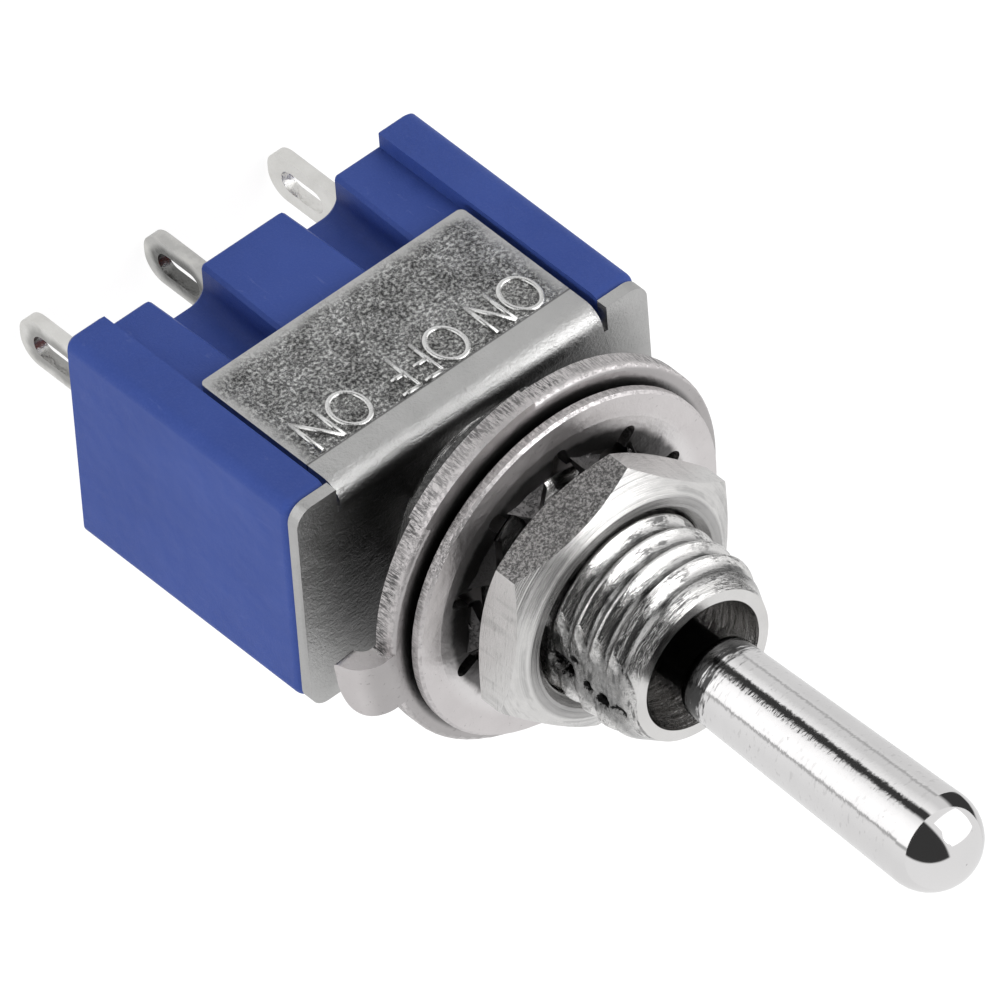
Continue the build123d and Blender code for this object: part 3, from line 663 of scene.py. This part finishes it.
def stroke_ridge(points, closed):
    """Vertices and faces of a rounded ridge that stands on the flap along a line of (x, z) points."""
    count = len(points)
    vertices, faces = [], []
    for index, (x, z) in enumerate(points):
        before = points[index - 1] if closed or index else points[index]
        after = points[(index + 1) % count] if closed or index < count - 1 else points[index]
        one = Vector((x - before[0], z - before[1]))
        two = Vector((after[0] - x, after[1] - z))
        one = one.normalized() if one.length > 1e-9 else two.normalized()
        two = two.normalized() if two.length > 1e-9 else one
        middle = (one + two).normalized()
        side = Vector((-middle.y, middle.x)) / max(0.45, middle.dot(one))
        for across, up in STROKE_SECTION:
            offset = side * across * STROKE_WIDTH / 2
            y = FLAP_Y - STROKE_SINK + up * (STROKE_HEIGHT + STROKE_SINK)
            vertices.append((x + offset.x, y, z + offset.y))
    span = len(STROKE_SECTION)
    for index in range(count if closed else count - 1):
        here, there = index * span, ((index + 1) % count) * span
        for k in range(span - 1):
            faces.append((here + k, here + k + 1, there + k + 1, there + k))
        faces.append((here + span - 1, here, there, there + span - 1))
    if not closed:
        faces.append(tuple(range(span)))
        faces.append(tuple((count - 1) * span + k for k in range(span)))
    return vertices, faces


def letter_strokes(letter, left, right):
    """Lines of one letter in (x, z), where left is its reading side's larger x."""
    low, high = LETTER_LOW, LETTER_HIGH
    if letter == "O":
        middle = ((left + right) / 2, (low + high) / 2)
        half_x, half_z = (left - right) / 2, (high - low) / 2
        ring = []
        for step in range(ROUND_LETTER_POINTS):
            angle = 2 * math.pi * step / ROUND_LETTER_POINTS
            ring.append((middle[0] + half_x * math.cos(angle), middle[1] + half_z * math.sin(angle)))
        return [(ring, True)]
    if letter == "N":
        return [([(left, low), (left, high)], False), ([(left, high), (right, low)], False),
                ([(right, low), (right, high)], False)]
    middle = (low + high) / 2 + F_BAR_RISE
    return [([(left, low), (left, high)], False), ([(left, high), (right, high)], False),
            ([(left, middle), (right + F_BAR_SHORT, middle)], False)]


def make_flap_words(material):
    """ON OFF ON as raised outline strokes on the flap, read with the lever upwards."""
    vertices, faces = [], []
    for letter, left, right in LETTERS:
        for line, closed in letter_strokes(letter, left, right):
            more, sides = stroke_ridge(line, closed)
            shift = len(vertices)
            vertices += more
            faces += [tuple(i + shift for i in side) for side in sides]
    return mesh_piece("flap_words", vertices, faces, material)


def make_camera():
    """The photograph's camera: far off, with a long lens and a rolled frame."""
    camera = bpy.data.objects.new("camera", bpy.data.cameras.new("camera"))
    bpy.context.scene.collection.objects.link(camera)
    turn = Matrix((PHOTO_RIGHT, PHOTO_UP, PHOTO_BACK)).transposed()
    camera.matrix_world = Matrix.Translation(CAMERA_PLACE) @ turn.to_4x4()
    camera.data.lens = CAMERA_LENS
    camera.data.sensor_width = SENSOR_WIDTH
    camera.data.clip_start = 0.01
    camera.data.clip_end = 20
    bpy.context.scene.camera = camera


def make_floor():
    """White floor just under the lugs, which glows for reflections in darker and brighter sectors round the
    object.

    The camera sees it white, with a faint shadow. Metal mirrors its sectors, by their bearing from X.
    """
    bpy.ops.mesh.primitive_plane_add(size=FLOOR_SIZE, location=(0, 0, FLOOR_Z * MM))
    floor = bpy.context.object
    floor.name = "floor"
    material = bpy.data.materials.new("floor_white")
    material.use_nodes = True
    f = Finish(material.node_tree)
    material.node_tree.nodes.clear()
    rays = f.node("ShaderNodeLightPath").socket.node.outputs
    seen = Value(f, rays["Is Camera Ray"])
    mirrored = Value(f, rays["Is Glossy Ray"]).most(Value(f, rays["Is Transmission Ray"]))
    x, y, _ = f.parts(f.node("ShaderNodeTexCoord", output=3))
    turn = f.node("ShaderNodeMath", {"operation": "ARCTAN2"}, {0: y, 1: x}) / (2 * math.pi) + 0.5
    stops = [((bearing + 180) / 360, (level, level, level)) for bearing, level in FLOOR_SECTORS]
    sectors = f.node("ShaderNodeValToRGB", {"stops": stops}, {0: turn})
    reach = length(x, y)
    bearing = (turn - 0.5) * 360
    near_dark_patch = bearing.between(*NEAR_PATCH_BEARING) * reach.between(*NEAR_PATCH_REACH)
    far_dark_patch = abs(bearing - FAR_PATCH_BEARING).step(*FAR_PATCH_HALF) * reach.step(*FAR_PATCH_REACH)
    mirrored_colour = f.blend(reach.step(*GREY_MIDDLE), (0.62, 0.62, 0.62), sectors)
    mirrored_colour = f.blend(near_dark_patch.most(far_dark_patch), mirrored_colour, (0.03, 0.03, 0.03))
    paper = f.node("ShaderNodeBsdfDiffuse", inputs={"Color": (0.8, 0.8, 0.8, 1)})
    white = f.node("ShaderNodeEmission", inputs={"Color": (1, 1, 1, 1), "Strength": 1.2})
    camera_side = f.node("ShaderNodeMixShader", inputs={0: 0.75, 1: paper, 2: white})
    # Painted reflection: only glossy and transmission rays see this glow, so metal mirrors it while the
    # camera sees the floor white
    reflection_glow = f.node("ShaderNodeEmission", inputs={"Color": mirrored_colour, "Strength": 1.45})
    first = f.node("ShaderNodeMixShader", inputs={0: mirrored, 1: paper, 2: reflection_glow})
    both = f.node("ShaderNodeMixShader", inputs={0: seen, 1: first, 2: camera_side})
    f.node("ShaderNodeOutputMaterial", inputs={"Surface": both}, output=None)
    floor.data.materials.append(material)


def towards(right, up, back):
    """A direction given in the photograph's own axes, turned into the object's."""
    return (PHOTO_RIGHT * right + PHOTO_UP * up + PHOTO_BACK * back).normalized()


def make_light():
    """A pale tent with a bright window and a dark gap in it, and two large soft lamps."""
    world = bpy.data.worlds.new("tent")
    bpy.context.scene.world = world
    world.use_nodes = True
    f = Finish(world.node_tree)
    world.node_tree.nodes.clear()
    direction = f.node("ShaderNodeTexCoord", output=0)

    def patch(corners, blur):
        inside = 1.0
        aims = [towards(*corner) for corner in corners]
        middle = sum(aims, Vector()).normalized()
        for one, two in zip(aims, aims[1:] + aims[:1]):
            side = one.cross(two).normalized()
            side = side if side.dot(middle) > 0 else -side
            height = f.node("ShaderNodeVectorMath", {"operation": "DOT_PRODUCT"},
                            {0: direction, 1: side}, output=1)
            inside = inside * height.step(-blur, blur)
        return inside

    gap = patch(TENT_GAP, GAP_BLUR)
    window = patch(WINDOW, WINDOW_BLUR)
    strength = (TENT_LEVEL + window * (TENT_WINDOW - TENT_LEVEL)) * (1 - gap * GAP_DARKNESS)
    background = f.node("ShaderNodeBackground", inputs={"Color": (1, 1, 1, 1), "Strength": strength})
    f.node("ShaderNodeOutputWorld", inputs={"Surface": background}, output=None)

    for name, aim, reach, size, watts, mirrored in LAMPS:
        lamp = bpy.data.objects.new(name, bpy.data.lights.new(name, "AREA"))
        lamp.data.shape = "DISK"
        lamp.data.size = size
        lamp.data.energy = watts
        way = towards(*aim)
        lamp.location = way * reach
        lamp.rotation_mode = "QUATERNION"
        lamp.rotation_quaternion = way.to_track_quat("Z", "Y")
        lamp.visible_glossy = mirrored
        bpy.context.scene.collection.objects.link(lamp)


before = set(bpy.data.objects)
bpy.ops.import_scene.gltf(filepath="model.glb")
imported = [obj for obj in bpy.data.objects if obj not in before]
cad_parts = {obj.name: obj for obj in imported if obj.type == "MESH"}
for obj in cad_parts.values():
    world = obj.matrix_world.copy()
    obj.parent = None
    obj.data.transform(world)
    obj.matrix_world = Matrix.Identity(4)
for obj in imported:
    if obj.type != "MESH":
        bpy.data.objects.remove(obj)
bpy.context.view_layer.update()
bpy.context.scene.view_settings.view_transform = "Standard"
make_camera()
make_floor()
make_light()

nickel = turned_nickel()
sheet = plated_sheet()
satin = satin_nickel()
hexes = hex_nickel()
lug = tinned_lug()
silver = inner_metal("silver", (0.70, 0.69, 0.66), (0.82, 0.81, 0.79), 0.25)
steel = inner_metal("drawn_steel", (0.42, 0.42, 0.42), (0.56, 0.56, 0.56), 0.25)
finishes = {
    "base": blue_moulding(), "frame": sheet, "bushing": nickel, "lever": polished_lever(), "pivot_pin": steel,
    "plunger": nylon(), "plunger_spring": steel,
    "rocker": inner_metal("silvered_copper", (0.62, 0.56, 0.50), (0.74, 0.70, 0.65), 0.25),
    "moving_contact_left": silver, "moving_contact_right": silver, "fixed_contact_left": silver,
    "fixed_contact_right": silver, "terminal_left": lug, "terminal_middle": lug, "terminal_right": lug,
    "terminal_seal": red_resin(), "rear_nut": hexes, "locating_ring": satin, "lock_washer": satin,
    "front_nut": hexes,
}
for node, material in finishes.items():
    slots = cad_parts[node].data.materials
    slots.clear()
    slots.append(material)

bushing = make_threaded_bushing(nickel)
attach(bushing, "switch_body")
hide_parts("bushing")

words = make_flap_words(flap_letters())
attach(words, "switch_body")
